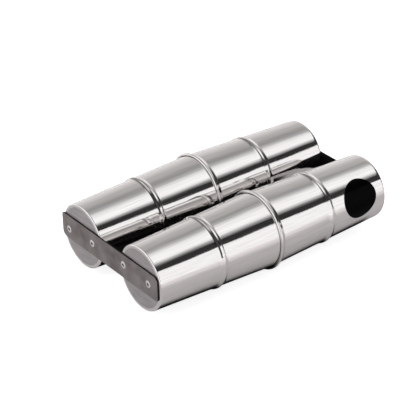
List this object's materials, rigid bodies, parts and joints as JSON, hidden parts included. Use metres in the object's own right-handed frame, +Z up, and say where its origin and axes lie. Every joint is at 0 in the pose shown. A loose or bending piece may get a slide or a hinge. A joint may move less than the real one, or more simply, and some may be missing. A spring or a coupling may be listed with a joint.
{
  "type": "ganza shaker",
  "caption": "Double tube shaker: two polished metal tubes of tapered cups with raised beads, held side by side by riveted end straps, with loose shot inside that rattles.",
  "frame": {"origin": "on the ground under the middle of the shaker, midway between the tubes", "axes": "+X along the tubes towards the labelled end, +Y from the front tube to the rear tube, +Z up"},
  "size_m": [0.2212, 0.14, 0.0642],
  "materials": {
    "polished_aluminium": "mirror polished",
    "dark_plated_steel": "satin",
    "rivet_aluminium": "satin",
    "stub_steel": "dull",
    "label_vinyl": "gloss",
    "shot_steel": "bright"
  },
  "bodies": {
    "shell": {"front_left_cup": "polished_aluminium", "front_right_cup": "polished_aluminium", "rear_left_cup": "polished_aluminium", "rear_right_cup": "polished_aluminium", "left_strap": "dark_plated_steel", "right_strap": "dark_plated_steel", "left_rivet_1": "rivet_aluminium", "left_rivet_2": "rivet_aluminium", "left_rivet_3": "rivet_aluminium", "left_rivet_4": "rivet_aluminium", "right_rivet_1": "rivet_aluminium", "right_rivet_2": "rivet_aluminium", "right_rivet_3": "rivet_aluminium", "right_rivet_4": "rivet_aluminium", "left_rivet_stub_1": "stub_steel", "left_rivet_stub_2": "stub_steel", "left_rivet_stub_3": "stub_steel", "left_rivet_stub_4": "stub_steel", "right_rivet_stub_1": "stub_steel", "right_rivet_stub_2": "stub_steel", "right_rivet_stub_3": "stub_steel", "right_rivet_stub_4": "stub_steel", "blank_label": "label_vinyl"},
    "front_bed": {"front_shot_bed": "shot_steel"},
    "rear_bed": {"rear_shot_bed": "shot_steel"},
    "front_top": {"front_shot_top": "shot_steel"},
    "rear_top": {"rear_shot_top": "shot_steel"}
  },
  "joints": [
    {"name": "front_shot_roll", "type": "hinge", "parent": "shell", "child": "front_bed", "pos_m": [0, -0.03795, 0.0321], "axis": [1, 0, 0], "continuous": true},
    {"name": "front_shot_run", "type": "slide", "parent": "front_bed", "child": "front_top", "axis": [1, 0, 0], "range_m": [-0.08, 0.08]},
    {"name": "rear_shot_roll", "type": "hinge", "parent": "shell", "child": "rear_bed", "pos_m": [0, 0.03795, 0.0321], "axis": [1, 0, 0], "continuous": true},
    {"name": "rear_shot_run", "type": "slide", "parent": "rear_bed", "child": "rear_top", "axis": [1, 0, 0], "range_m": [-0.08, 0.08]}
  ]
}
